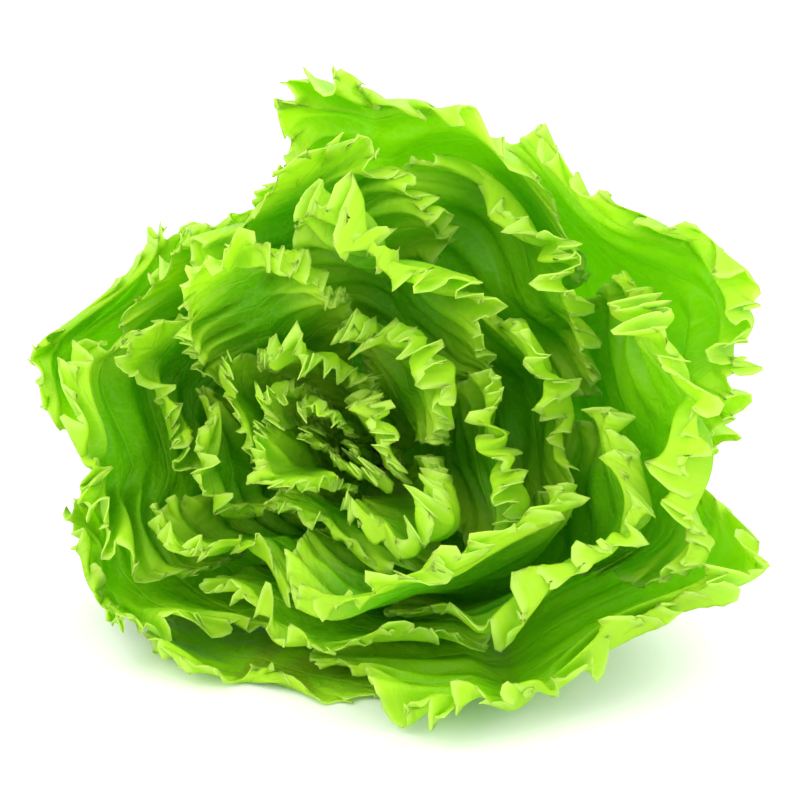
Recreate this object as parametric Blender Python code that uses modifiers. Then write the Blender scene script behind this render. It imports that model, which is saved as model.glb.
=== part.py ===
"""Green leaf lettuce: one head as picked, lying on its side with the crown facing -Y.

Frilled leaves spring in a spiral from a short tapered stem that is cut off at the back. Every leaf keeps to
its own layer of the head, as the layers of an onion do. Three numbers name a point in the head: its turn
(direction round the stem's axis), its level (0 at the heart, 1 in the outermost leaf) and its reach (distance
along the layer from the leaf's root). Wherever two leaves overlap they own different levels, so their frills
never cross. The layers are squeezed at the underside so that the outermost one settles on the floor.
Metres, +Z up, origin under the middle of the head, on the surface that it rests on.
"""
import math

import bmesh
import bpy
import numpy as np

SEED = 11

# Placing of the head: the axis runs from the cut stem at the back up to the crown at the front.
AXIS_RISE = math.radians(29)
AXIS_YAW = math.radians(15)       # and the crown is turned this far towards -X
ROOT_X = 0.0065                   # where the lowest leaf roots sit, on the stem's axis
ROOT_Y = 0.0862
ROOT_HEIGHT = 0.036

# Stem
STEM_RADIUS = 0.0165              # at the lowest leaf roots
STEM_TIP_RADIUS = 0.0025          # inside the heart
BUTT_RADIUS = 0.0160              # at the cut
ROOT_SPAN = 0.046                 # length of stem that carries leaves
BUTT_LENGTH = 0.011               # bare cut end behind the lowest roots
ROOT_GAP = 0.0005                 # between a large leaf's root and the stem's surface
ROOT_SINK = 0.0010                # how deep the heart's leaves sink into its core
NODE_GAP = 0.0003                 # between the stem's end and the heart's core

# How the layers open out: angles from the stem's axis at the root, and at REACH_FULL.
REACH_FULL = 0.180
INNER_ANGLES = (math.radians(7), math.radians(-15))
OUTER_ANGLES = (math.radians(84), math.radians(14))
FLOOR_ANGLES = (math.radians(88), math.radians(27))
FLOOR_FADE = 0.14                 # share of REACH_FULL over which a leaf on the floor levels out
FLOOR_PRESS = 0.0020              # how far the lowest leaves would sink if the floor didn't hold them up
FLOOR_GAP = 0.0003                # height of their middle over the floor, where they settle
SIDE_SPREAD = 0.16                # how much wider apart, round the axis, leaves lie at the underside

# Leaves
GOLDEN_TURN = math.radians(137.508)
LEAF_COUNT = 27                   # large leaves, each a node
HEART_COUNT = 6                   # small curled leaves, fused into the heart
ALL_LEAVES = LEAF_COUNT + HEART_COUNT
FIRST_TURN = math.radians(-102)
TURN_SCATTER = math.radians(5)
SCATTER_FROM = 8                  # the outermost leaves, which carry the head, keep to the spiral
LEAF_LENGTH = (0.110, 0.166)      # innermost and outermost large leaf
LENGTH_SCATTER = 0.18
WIDTH_SCATTER = 0.08
DEPTH_SCATTER = 0.12
LEAF_HALF_WIDTH = (0.036, 0.095)
ROOT_HALF_WIDTH = (0.0035, 0.0120)
HALF_TURN = (math.radians(43), math.radians(39))    # most turn that half of a leaf covers
ROOT_TURN = math.radians(33)      # most turn that half of a leaf covers at its root
ROOT_CROWD = 0.045                # and the reach over which it opens out
OPEN_LEVEL = 0.62                 # leaves above this level cover their full turn
BLADE_WIDEST = 1.70               # 1 would make a leaf widest half-way along, and more moves that to the tip
BLADE_FULLNESS = 0.45             # 1 would make it pointed, and less makes it rounder
RIB_LENGTH = 0.94                 # of the leaf's length, where the midrib ends
VEIN_SLANT = 1.25                 # more makes the side veins leave the midrib at a sharper angle
FRILL_DEPTH = (0.0048, 0.0074)    # half the height of a frill's waves
FRILL_INSIDE = 0.22               # share of the way from midrib to margin where frills begin
FRILL_START = 0.20                # share of the margin, from the root, that is plain
FRILL_FADE = 0.25                 # and the share over which the waves then grow
FRILL_RISE = 1.5                  # how late a wave rises, from where it begins to the margin
LEAN_RISE = 1.5                   # and how late a leaf leans away from its layer
FRILL_PITCH = (0.0160, 0.0220)    # from one wave to the next, along the flat margin
FRILL_CURL = 0.80                 # how far a wave's crest bulges over its neck
LOBE_DEPTH = 0.004                # how far lobes reach in and out, as a share of the leaf
YOUNG_LEVEL = 0.20                # leaves under this level are still small
YOUNG_SHARE = 0.45                # how far the innermost one has grown
MOST_LIFT = 2.0                   # most that a leaf leaves its layer, as a multiple of its frill depth
# Beyond a leaf's edge, the room that it takes from its neighbours is full for the first distance and then
# fades over the second.
BESIDE = (0.05, 0.22)             # round the axis, in radians
BEYOND = (0.008, 0.018)           # past the tip
BLADE_THICKNESS = 0.0008
RIB_THICKNESS = (0.0016, 0.0034)  # at the root of the midrib, of the innermost and outermost leaf
CLEARANCE = (0.0020, 0.0014)      # half the space kept between leaves, in the heart and outside it
HEART_BASE = 0.0330               # where the heart's core takes over from the stem
CORE_TIP = 0.006                  # growing tip above the innermost roots
TURNED_STEPS = 32
LEAST_OUT = 0.002                 # no layer comes nearer to the axis
LEAST_SPACING = 0.004             # of layers, for each unit of level
LEVEL_STEP = 0.004                # for measuring how layers lie to each other
FLOOR_LEAVES = 9                  # the outermost leaves, which may lie on the floor
FLOOR_BESIDE = (0.78, 0.30)       # radians to each side that such a leaf holds up, and the fading beyond
MOST_BEND = 1.3                   # of the layers at the underside

# Looks
LEAF_COLOUR = (0.20, 0.50, 0.020)
HEART_COLOUR = (0.30, 0.60, 0.035)
STEM_COLOUR = (0.70, 0.78, 0.42)
LEAF_ROUGHNESS = 0.42
STEM_ROUGHNESS = 0.50

# How far the head spreads to each side, as a share: direction in degrees from +X towards up.
SPREAD_SIDES = (-180, -135, -90, -60, -35, -15, 0, 45, 90, 135, 180)
SPREAD_SHARES = (0.91, 1.00, 0.98, 1.06, 1.20, 1.14, 1.06, 1.10, 1.06, 0.94, 0.91)
# The head isn't round: it is drawn out to the sides and upwards, and pushed along x, y and z by (size,
# waves to the metre along x, y and z, phase).
SIDE_STRETCH = (0.05, 0.30)       # how much it is drawn out towards -X and +X
STRETCH_BLEND = 0.10              # across the middle, where one goes over into the other
TOP_STRETCH = 0.16                # how much it is drawn up, at TOP_FULL and over it
TOP_START = 0.080
TOP_FULL = 0.240
PUSH_START = 0.033                # distance from the middle of the stem where pushing begins
PUSH_FADE = 0.06                  # and the distance over which it grows
PUSH_HEIGHT = 0.05                # and height over the floor at which it is full
PUSH = ((0.0080, 0.0, 4.8, 6.7, 2.3), (0.0080, 7.7, 0.0, 5.3, 1.0), (0.0070, 7.1, -4.3, 0.0, -0.1))


def mix(ends, share):
    """The value this share of the way from ends[0] to ends[1]."""
    return ends[0] + (ends[1] - ends[0]) * share


def smooth(x):
    """0 below 0, 1 above 1, and an S-curve between."""
    x = np.clip(x, 0.0, 1.0)
    return x * x * (3 - 2 * x)


def turned(angle):
    """The same direction, between minus half a turn and half a turn."""
    return np.remainder(angle + math.pi, 2 * math.pi) - math.pi


def azimuth(turn):
    """Direction round the axis, from +X towards up. Turns lie further apart at the underside."""
    return turn + SIDE_SPREAD * np.cos(turn)


def azimuth_rate(turn):
    return 1 - SIDE_SPREAD * np.sin(turn)


def slope(level, floor, share):
    """A layer's angle from the axis at a share of REACH_FULL. floor is 0 in the open and 1 on the floor."""
    settled = (1 - np.exp(-share / FLOOR_FADE)) / (1 - math.exp(-1 / FLOOR_FADE))
    outer = mix((mix(OUTER_ANGLES, share), mix(FLOOR_ANGLES, settled)), floor)
    return mix((mix(INNER_ANGLES, share), outer), level)


GAUSS_POINTS, GAUSS_WEIGHTS = np.polynomial.legendre.leggauss(8)


def profile(level, floor, reach):
    """(distance from the axis, distance along it) of a layer: its slope summed up from the root."""
    gap = mix((-ROOT_SINK, ROOT_GAP), smooth(level * ALL_LEAVES - HEART_COUNT))
    out = mix((STEM_TIP_RADIUS, STEM_RADIUS), level) + gap + mix(RIB_THICKNESS, level) / 2
    along = ROOT_SPAN * (1 - level)
    for point, weight in zip(GAUSS_POINTS, GAUSS_WEIGHTS):
        angle = slope(level, floor, reach * (point + 1) / 2 / REACH_FULL)
        out = out + reach * weight / 2 * np.sin(angle)
        along = along + reach * weight / 2 * np.cos(angle)
    return np.maximum(out, LEAST_OUT), along


def height(side, out, along):
    return ROOT_HEIGHT + along * math.sin(AXIS_RISE) + out * np.sin(side) * math.cos(AXIS_RISE)


def lowest_level(turn):
    """Level of the outermost leaf that lies in this direction, fading off beside it."""
    top = np.full(np.shape(turn), 1 - FLOOR_LEAVES / ALL_LEAVES)
    for order in range(FLOOR_LEAVES):
        away = np.abs(turned(turn - FIRST_TURN - order * GOLDEN_TURN))
        holds = smooth(1 - (away - FLOOR_BESIDE[0]) / FLOOR_BESIDE[1])
        top = np.maximum(top, (1 - order / ALL_LEAVES) * holds)
    return top


def floor_table():
    """How far the layers must bend, in directions all round, to keep the outermost leaf over the floor."""
    turn = np.radians(np.arange(-180, 181, 3))
    bend = np.linspace(0, MOST_BEND, 79)
    reach = np.linspace(0, LEAF_LENGTH[1], 40)
    out, along = profile(lowest_level(turn)[:, None, None], bend[None, :, None], reach[None, None, :])
    lowest = height(azimuth(turn)[:, None, None], out, along).min(axis=2)
    bends = [np.interp(-FLOOR_PRESS, row, bend) if row[0] < -FLOOR_PRESS else 0.0 for row in lowest]
    return turn, np.array(bends)


FLOOR_TURNS, FLOOR_BENDS = floor_table()


def floor_bend(turn):
    return np.interp(turned(turn), FLOOR_TURNS, FLOOR_BENDS)


def layer_spacing(level, turn, reach):
    """Metres from layer to layer, for each unit of level, square to the layer."""
    floor = floor_bend(turn)
    out_in, along_in = profile(level - LEVEL_STEP, floor, reach)
    out_on, along_on = profile(level + LEVEL_STEP, floor, reach)
    angle = slope(level, floor, reach / REACH_FULL)
    apart = (out_on - out_in) * np.cos(angle) - (along_on - along_in) * np.sin(angle)
    return np.maximum(np.abs(apart) / (2 * LEVEL_STEP), LEAST_SPACING)


def floor_room(level, turn, reach):
    """Levels free between a layer and the floor under it."""
    side = azimuth(turn)
    here = height(side, *profile(level, floor_bend(turn), reach))
    below = height(side, *profile(level + LEVEL_STEP, floor_bend(turn), reach))
    return np.maximum(here - FLOOR_GAP, 0) / np.maximum((here - below) / LEVEL_STEP, LEAST_SPACING / 4)


def in_world(x, y, z):
    """World points: turned about the upright through the lowest roots."""
    turned_x = x * math.cos(AXIS_YAW) + y * math.sin(AXIS_YAW)
    turned_y = y * math.cos(AXIS_YAW) - x * math.sin(AXIS_YAW)
    return np.stack([ROOT_X + turned_x, ROOT_Y + turned_y, z], axis=-1)


def place(turn, level, reach):
    """World points of the head's own coordinates."""
    out, along = profile(level, floor_bend(turn), reach)
    side = azimuth(turn)
    x = out * np.cos(side)
    y = out * np.sin(side) * math.sin(AXIS_RISE) - along * math.cos(AXIS_RISE)
    z = np.maximum(height(side, out, along), FLOOR_GAP)
    away = np.hypot(out, along - ROOT_SPAN / 2)
    free = smooth(z / PUSH_HEIGHT) * smooth((away - PUSH_START) / PUSH_FADE)
    push_x, push_y, push_z = (free * size * np.sin(2 * math.pi * (first * x + second * y + third * z) + phase)
                              for size, first, second, third, phase in PUSH)
    push_x = push_x + free * x * mix(SIDE_STRETCH, smooth(x / STRETCH_BLEND + 0.5))
    push_z = push_z + free * (z - TOP_START) * TOP_STRETCH * smooth((z - TOP_START) / (TOP_FULL - TOP_START))
    return in_world(x + push_x, y + push_y, z + push_z)


def waver(terms, x):
    """A smooth curve that wanders about 0: the sum of sine waves given as (size, frequency, phase)."""
    return sum(size * np.sin(2 * math.pi * rate * x + phase) for size, rate, phase in terms)


class Leaf:
    """One leaf: its layer, its direction and its own sizes. order 0 is the outermost."""

    def __init__(self, order):
        rng = np.random.default_rng(SEED + order)
        vary = rng.uniform(-1, 1, 5)
        self.order = order
        scatter = TURN_SCATTER * vary[4] * (order >= SCATTER_FROM)
        self.turn = float(turned(FIRST_TURN + order * GOLDEN_TURN)) + scatter
        self.level = 1 - order / ALL_LEAVES
        age = max(0.0, (self.level - YOUNG_LEVEL) / (1 - YOUNG_LEVEL))
        young = min(1.0, mix((YOUNG_SHARE, 1), self.level / YOUNG_LEVEL))
        spread = np.interp(np.degrees(turned(azimuth(self.turn))), SPREAD_SIDES, SPREAD_SHARES)
        own = 1 + LENGTH_SCATTER * vary[0] * min(1, (1 - self.level) * 4)
        self.length = mix(LEAF_LENGTH, age ** 0.5) * spread ** self.level * own * young ** 0.7
        self.half_width = mix(LEAF_HALF_WIDTH, age) * (1 + WIDTH_SCATTER * vary[1]) * young ** 0.7
        self.root_half_width = mix(ROOT_HALF_WIDTH, age)
        self.frill_depth = mix(FRILL_DEPTH, age) * (1 + DEPTH_SCATTER * vary[2]) * young
        self.widest = mix(HALF_TURN, min(1, self.level / OPEN_LEVEL))
        self.reaches = np.linspace(0, self.length, 200)
        self.outs = np.maximum(profile(self.level, floor_bend(self.turn), self.reaches)[0], 0.003)
        self.flat = self.flat_margin()
        pitch = mix(FRILL_PITCH, age) * young ** 0.5
        self.waves = max(4, round(self.flat[0][-1] * (1 - FRILL_START) / pitch))
        self.tip_phase = math.pi * rng.integers(2)
        phases = rng.uniform(0, 2 * math.pi, 6)
        self.swell = [(0.20, 2.3, phases[0]), (0.15, 5.1, phases[1])]
        self.uneven = [(0.018, 1.3, phases[2]), (0.009, 3.1, phases[4]), (0.0035, 6.7, phases[1])]
        self.lean = [(0.55, 0.4, phases[2]), (0.50, 0.9, phases[3])]
        self.lobe = [(0.6, self.waves, phases[4]), (0.6, self.waves * 0.37, phases[5])]
        across = np.interp(self.reaches, self.flat[2], self.flat[1])
        self.spreads = across / self.outs / azimuth_rate(self.turn) + BESIDE[0]

    def limit(self, reach):
        """Most turn that half of the leaf may cover: less at the root, where the leaves are crowded."""
        return mix((min(ROOT_TURN, self.widest), self.widest), smooth(reach / ROOT_CROWD))

    def flat_margin(self):
        """(run along the margin, half-width, reach) of one side of the flat leaf, root to tip."""
        tau = np.sin(np.linspace(0, math.pi / 2, 400))
        blade = np.sin(math.pi * np.clip(tau, 0, 1) ** BLADE_WIDEST).clip(0, 1) ** BLADE_FULLNESS
        reach = self.length * tau
        most = self.limit(reach) * np.interp(reach, self.reaches, self.outs) * azimuth_rate(self.turn)
        across = self.root_half_width * (1 - tau) + self.half_width * blade
        across = np.minimum(across, most * np.maximum(blade, 1 - tau))
        run = np.concatenate([[0], np.cumsum(np.hypot(np.diff(across), np.diff(reach)))])
        return run, across, reach

    def covers(self, turn, reach):
        """1 where this leaf may be in the way of another, 0 where it is clear of it."""
        away = np.abs(turned(turn - self.turn))
        beside = smooth(1 - (away - np.interp(reach, self.reaches, self.spreads)) / BESIDE[1])
        return beside * smooth(1 - (reach - self.length - BEYOND[0]) / BEYOND[1])

    def room(self, turn, reach, spacing):
        """Levels free below and above this leaf, out to half-way to the next leaf that overlaps it there."""
        most = MOST_LIFT * self.frill_depth / spacing
        low = high = most + np.zeros(np.shape(turn))
        for other in LEAVES:
            if other is self:
                continue
            gap = abs(other.level - self.level) / 2
            apart = gap + np.maximum(most - gap, 0) * (1 - other.covers(turn, reach))
            if other.level > self.level:
                high = np.minimum(high, apart)
            else:
                low = np.minimum(low, apart)
        keep = mix(CLEARANCE, smooth(self.level / 0.3)) / spacing
        high = np.minimum(high - keep, floor_room(self.level, turn, reach))
        return np.maximum(low - keep, 0), np.maximum(high, 0)

    def surface(self, margin, vein):
        """World points. margin runs from -1 at the root, over 0 at the tip, to 1 at the root again, and vein
        from 0 at the midrib to 1 at the margin."""
        wave_length = (1 - FRILL_START) / self.waves
        phase = self.tip_phase + 2 * math.pi * margin / wave_length
        frilled = smooth((1 - FRILL_START - np.abs(margin)) / FRILL_FADE)
        curl = FRILL_CURL * np.sin(2 * phase) * vein ** 3 * wave_length / (2 * math.pi)
        margin = margin + frilled * (curl + vein * waver(self.uneven, margin))
        total, across_edge, reach_edge = self.flat
        at = (1 - np.abs(margin)) * total[-1]
        across_edge, reach_edge = np.interp(at, total, across_edge), np.interp(at, total, reach_edge)
        rib = RIB_LENGTH * self.length * (reach_edge / self.length) ** VEIN_SLANT
        lobe = 1 + LOBE_DEPTH * frilled * vein ** 3 * waver(self.lobe, margin)
        across = across_edge * vein * lobe
        reach = rib + (reach_edge * lobe - rib) * vein
        angle = across / np.interp(reach, self.reaches, self.outs) / azimuth_rate(self.turn)
        turn = self.turn + np.sign(margin) * angle
        spacing = layer_spacing(self.level, turn, reach)
        low, high = self.room(turn, reach, spacing)
        half = np.minimum((low + high) / 2, self.frill_depth / spacing)
        lean = (high - low) / 2 + np.clip(waver(self.lean, margin), -1, 1) * ((low + high) / 2 - half)
        swell = 1 - np.abs(waver(self.swell, margin))
        frill = np.clip((vein - FRILL_INSIDE) / (1 - FRILL_INSIDE), 0, 1) ** FRILL_RISE
        lift = frilled * (lean * vein ** LEAN_RISE + half * swell * np.cos(phase) * frill)
        return place(turn, self.level + lift, reach)


LEAVES = []
LEAVES.extend(Leaf(order) for order in range(ALL_LEAVES))

ROW_SHARES = (0.0, 0.45, 0.72, 1.0)      # midrib, two rows between, margin
ROW_SAMPLES = (1, 2, 4)                  # points to each wave in the rows outside the midrib
RIB_STEPS = 6


def zip_rows(first, second, first_at, second_at):
    """Triangles between two rows of points, given how far along the margin each point lies."""
    faces, i, j = [], 0, 0
    while i < len(first) - 1 or j < len(second) - 1:
        first_next = first_at[i] + first_at[i + 1] if i < len(first) - 1 else math.inf
        second_next = second_at[j] + second_at[j + 1] if j < len(second) - 1 else math.inf
        if first_next <= second_next:
            faces.append((first[i], first[i + 1], second[j]))
            i += 1
        else:
            faces.append((first[i], second[j + 1], second[j]))
            j += 1
    return faces


def leaf_sheet(leaf):
    """(points, triangles, rib weights) of the leaf's middle surface: rows that follow the margin, zipped."""
    plain = 1 - FRILL_START
    halves = [np.linspace(0, 1, RIB_STEPS + 1)]
    halves += [np.append(np.linspace(0, plain, count * leaf.waves + 1), 1) for count in ROW_SAMPLES]
    points, weights, rows = [], [], []
    for vein, half in zip(ROW_SHARES, halves):
        margin = half if vein == 0 else np.concatenate([-half[:0:-1], half])
        rows.append(list(range(len(points), len(points) + len(margin))))
        points.extend(leaf.surface(margin, np.full(len(margin), vein)))
        weights.extend(margin if vein == 0 else np.zeros(len(margin)))
    right = [row[len(row) - len(half):] for row, half in zip(rows, halves)]
    left = [row[len(half) - 1::-1] for row, half in zip(rows, halves)]
    left[0] = right[0]
    faces = []
    for row in range(len(rows) - 1):
        faces += zip_rows(right[row], right[row + 1], halves[row], halves[row + 1])
        faces += [face[::-1] for face in zip_rows(left[row], left[row + 1], halves[row], halves[row + 1])]
    return points, faces, weights


def material(name, colour, roughness):
    made = bpy.data.materials.new(name)
    made.use_nodes = True
    shader = made.node_tree.nodes["Principled BSDF"]
    shader.inputs["Base Color"].default_value = (*colour, 1)
    shader.inputs["Roughness"].default_value = roughness
    shader.inputs["Metallic"].default_value = 0.0
    return made


def new_object(name, mesh, look, collection):
    mesh.materials.append(look)
    obj = bpy.data.objects.new(name, mesh)
    collection.objects.link(obj)
    return obj


def apply_modifiers(obj):
    """The object's evaluated mesh takes the place of its own, and its modifiers go."""
    graph = bpy.context.evaluated_depsgraph_get()
    mesh = bpy.data.meshes.new_from_object(obj.evaluated_get(graph))
    obj.modifiers.clear()
    obj.data = mesh


def leaf_object(leaf, name, look, collection):
    """A leaf: its sheet, given its thickness, with the midrib thicker towards the root."""
    points, faces, weights = leaf_sheet(leaf)
    mesh = bpy.data.meshes.new(name)
    mesh.from_pydata([tuple(map(float, point)) for point in points], [], faces)
    obj = new_object(name, mesh, look, collection)
    rib = obj.vertex_groups.new(name="rib")
    for index, weight in enumerate(weights):
        rib.add([index], float(weight), "REPLACE")
    solid = obj.modifiers.new("thickness", "SOLIDIFY")
    solid.thickness = mix(RIB_THICKNESS, leaf.level)
    solid.offset = 0
    solid.vertex_group = "rib"
    solid.thickness_vertex_group = BLADE_THICKNESS / solid.thickness
    return obj


def turned_on_axis(name, outline, look, collection):
    """A solid turned round the stem's axis from (radius, distance along) points, listed top to bottom."""
    mesh = bpy.data.meshes.new(name)
    mesh.from_pydata([(radius, 0, along) for radius, along in outline], [],
                     [(i, i + 1) for i in range(len(outline) - 1)])
    obj = new_object(name, mesh, look, collection)
    screw = obj.modifiers.new("turning", "SCREW")
    screw.axis = "Z"
    screw.steps = screw.render_steps = TURNED_STEPS
    screw.use_merge_vertices = True
    screw.merge_threshold = 0.0001
    screw.use_normal_flip = True
    screw.use_smooth_shade = True
    obj.location = (ROOT_X, ROOT_Y, ROOT_HEIGHT)
    obj.rotation_euler = (math.pi / 2 - AXIS_RISE, 0, -AXIS_YAW)
    return obj


def stem_radius(along):
    return mix((STEM_RADIUS, STEM_TIP_RADIUS), along / ROOT_SPAN)


def add_stem(look, collection):
    """The short stem, cut off across behind the lowest leaves."""
    top = HEART_BASE - NODE_GAP
    outline = [(0, top), (stem_radius(top), top), (STEM_RADIUS, 0),
               (BUTT_RADIUS, -BUTT_LENGTH), (0, -BUTT_LENGTH)]
    return turned_on_axis("stem", outline, look, collection)


def join(obj, others):
    """A Boolean union of the object with those of a collection, which then go."""
    union = obj.modifiers.new("join", "BOOLEAN")
    union.operation = "UNION"
    union.solver = "EXACT"
    union.operand_type = "COLLECTION"
    union.collection = others
    apply_modifiers(obj)
    for other in list(others.objects):
        bpy.data.objects.remove(other)
    bpy.data.collections.remove(others)


def drop_chips(obj):
    """Where thin folds touch, a union leaves chips beside them: only the largest body stays."""
    mesh = bmesh.new()
    mesh.from_mesh(obj.data)
    left, largest = set(mesh.faces), set()
    while left:
        body, edge = set(), [left.pop()]
        while edge:
            face = edge.pop()
            body.add(face)
            for side in face.edges:
                if len(side.link_faces) == 2:
                    beside = [other for other in side.link_faces if other in left]
                    left.difference_update(beside)
                    edge.extend(beside)
        largest = max(largest, body, key=len)
    bmesh.ops.delete(mesh, geom=[face for face in mesh.faces if face not in largest], context="FACES")
    mesh.to_mesh(obj.data)
    mesh.free()


def add_heart(look, collection):
    """The young leaves round the growing tip, fused to the core that they spring from."""
    tip = ROOT_SPAN + CORE_TIP
    outline = [(0, tip), (STEM_TIP_RADIUS * 0.7, tip - CORE_TIP * 0.3), (STEM_TIP_RADIUS, ROOT_SPAN),
               (stem_radius(HEART_BASE), HEART_BASE), (0, HEART_BASE)]
    heart = turned_on_axis("heart", outline, look, collection)
    young = bpy.data.collections.new("heart_leaves")
    collection.children.link(young)
    for leaf in LEAVES[LEAF_COUNT:]:
        leaf_object(leaf, f"heart_leaf_{leaf.order}", look, young)
    join(heart, young)
    drop_chips(heart)


def trim_to_floor(obj, cutter):
    """The leaf is pressed flat where it lies on the floor."""
    trim = obj.modifiers.new("floor", "BOOLEAN")
    trim.operation = "DIFFERENCE"
    trim.solver = "EXACT"
    trim.object = cutter
    apply_modifiers(obj)


def add_floor_cutter(collection):
    mesh = bpy.data.meshes.new("floor_cutter")
    grid = bmesh.new()
    bmesh.ops.create_cube(grid, size=1.0)
    grid.to_mesh(mesh)
    grid.free()
    cutter = bpy.data.objects.new("floor_cutter", mesh)
    cutter.location = (0, 0, -0.5)
    cutter.display_type = "WIRE"
    cutter.hide_render = True
    collection.objects.link(cutter)
    return cutter


def main():
    for obj in list(bpy.data.objects):
        bpy.data.objects.remove(obj)
    head = bpy.data.collections.new("green_leaf_lettuce")
    cutters = bpy.data.collections.new("cutters")
    bpy.context.scene.collection.children.link(head)
    bpy.context.scene.collection.children.link(cutters)
    leaf_look = material("leaf_green", LEAF_COLOUR, LEAF_ROUGHNESS)
    add_stem(material("stem_pale", STEM_COLOUR, STEM_ROUGHNESS), head)
    add_heart(material("heart_green", HEART_COLOUR, LEAF_ROUGHNESS), head)
    cutter = add_floor_cutter(cutters)
    for leaf in LEAVES[:LEAF_COUNT]:
        obj = leaf_object(leaf, f"leaf_{leaf.order + 1:02d}", leaf_look, head)
        apply_modifiers(obj)
        if min(vertex.co.z for vertex in obj.data.vertices) < 0:
            trim_to_floor(obj, cutter)


main()
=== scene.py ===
"""Green leaf lettuce: one loose head lying on its side, its crown of frilled leaves towards the camera."""

import math

import bpy
import numpy as np
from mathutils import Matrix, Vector


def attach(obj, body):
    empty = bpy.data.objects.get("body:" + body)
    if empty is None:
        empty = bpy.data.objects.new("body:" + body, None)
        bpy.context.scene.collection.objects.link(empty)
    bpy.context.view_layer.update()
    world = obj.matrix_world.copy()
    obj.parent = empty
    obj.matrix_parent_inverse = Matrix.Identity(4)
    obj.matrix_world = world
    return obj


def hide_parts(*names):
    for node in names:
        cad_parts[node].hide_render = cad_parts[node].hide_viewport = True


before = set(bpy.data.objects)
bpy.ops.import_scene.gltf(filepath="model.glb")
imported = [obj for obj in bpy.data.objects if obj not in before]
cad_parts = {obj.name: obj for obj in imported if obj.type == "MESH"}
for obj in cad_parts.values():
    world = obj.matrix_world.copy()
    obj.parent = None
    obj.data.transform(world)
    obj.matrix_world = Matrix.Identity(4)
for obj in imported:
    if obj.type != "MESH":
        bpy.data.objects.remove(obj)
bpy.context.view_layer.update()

# Stem: the short pale core that every leaf grows from. It is crisp, wet tissue, turned here as a cone
# round the head's axis and cut across with a knife behind the lowest leaves, where the cut has browned.
AXIS_RISE = math.radians(29)
AXIS_YAW = math.radians(15)        # the crown points this far to the left of straight ahead
ROOT_X, ROOT_Y, ROOT_HEIGHT = 0.0065, 0.0862, 0.036      # of the axis at the lowest roots
STEM_RADIUS = 0.0165
STEM_TIP_RADIUS = 0.0025
BUTT_RADIUS = 0.0160
BUTT_LENGTH = 0.011
BUTT_ROUNDING = 0.0012
ROOT_SPAN = 0.046                  # along the axis, from the lowest roots to the growing tip
HEART_BASE = 0.0330                # along the axis, where the stem's node ends and the heart's starts
NODE_GAP = 0.0003
STEM_SIDES = 96
STEM_SKIN = "#C9DB93"
STEM_PITH = "#E4EAC2"
STEM_CUT_BROWN = "#B58A55"
STEM_ROUGHNESS = 0.45
STEM_IOR = 1.38                    # a little over that of water
STEM_FIBRE = 0.0009                # across the stem's fibres
FIBRE_LENGTH = 12.5                # in widths of a fibre
FIBRE_HEIGHT = 0.0003
CUT_DEPTH = (0.0008, 0.0002)       # from the cut face, where the skin goes over into the cut's colours
CUT_RING = (0.48, 0.62)            # of the cut's radius, where the pith goes over into the sap vessels
STAIN_SPOT = 0.0024                # across the spots of the brown stain
STAIN_NOISE = (0.45, 0.75)         # of the spots' noise, where the stain starts and where it is full
STAIN_SHARE = 0.55                 # of brown in a full stain


def linear(colour):
    """The linear colour of an sRGB hex value: each channel c is c/12.92 below 0.04045, and
    ((c+0.055)/1.055)^2.4 above it."""
    channels = np.array([int(colour[i:i + 2], 16) for i in (1, 3, 5)]) / 255
    low, high = channels / 12.92, ((channels + 0.055) / 1.055) ** 2.4
    return (*np.where(channels <= 0.04045, low, high), 1.0)


def add_node(tree, kind, links=(), **settings):
    """Adds a shader node. links are (input, socket that feeds it) pairs. A setting that the node has as a
    property is set there, and one named in_... is the input of that name or number."""
    node = tree.nodes.new(kind)
    for name, value in settings.items():
        if name.startswith("in_"):
            key = name[3:]
            node.inputs[int(key) if key.isdigit() else key.replace("_", " ")].default_value = value
        else:
            setattr(node, name, value)
    for key, socket in links:
        tree.links.new(socket, node.inputs[key])
    return node


def new_material(name):
    """(material, its node tree, its output node), with nothing in it but the output."""
    made = bpy.data.materials.new(name)
    made.use_nodes = True
    tree = made.node_tree
    tree.nodes.clear()
    return made, tree, tree.nodes.new("ShaderNodeOutputMaterial")


def new_piece(name, points, quads, material, node, attributes=None):
    """A smooth mesh of these points and four-cornered faces, which stands for a CAD node."""
    mesh = bpy.data.meshes.new(name)
    mesh.vertices.add(len(points))
    mesh.vertices.foreach_set("co", np.ascontiguousarray(points, np.float32).ravel())
    mesh.loops.add(quads.size)
    mesh.loops.foreach_set("vertex_index", np.ascontiguousarray(quads, np.int32).ravel())
    mesh.polygons.add(len(quads))
    mesh.polygons.foreach_set("loop_start", np.arange(0, quads.size, 4, dtype=np.int32))
    mesh.polygons.foreach_set("use_smooth", np.ones(len(quads), bool))
    mesh.update(calc_edges=True)
    mesh.validate()
    for key, values in (attributes or {}).items():
        layer = mesh.attributes.new(key, "FLOAT_VECTOR", "POINT")
        layer.data.foreach_set("vector", np.ascontiguousarray(values, np.float32).ravel())
    mesh.materials.append(material)
    piece = bpy.data.objects.new(name, mesh)
    bpy.context.scene.collection.objects.link(piece)
    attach(piece, "root")
    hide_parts(node)
    return piece


def height(side, out, along):
    """Height over the floor of a point given round, out from and along the axis: the height of the lowest
    roots, the rise of the axis up to it, and the upright part of its way out."""
    return ROOT_HEIGHT + along * math.sin(AXIS_RISE) + out * np.sin(side) * math.cos(AXIS_RISE)


def around_axis(side, out, along):
    """x, y and z from directions round the stem's axis, distances out from it and distances along it. The
    axis rises towards -Y here, and in_world turns the head aside."""
    x = out * np.cos(side)
    y = out * np.sin(side) * math.sin(AXIS_RISE) - along * math.cos(AXIS_RISE)
    return x, y, height(side, out, along)


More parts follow.
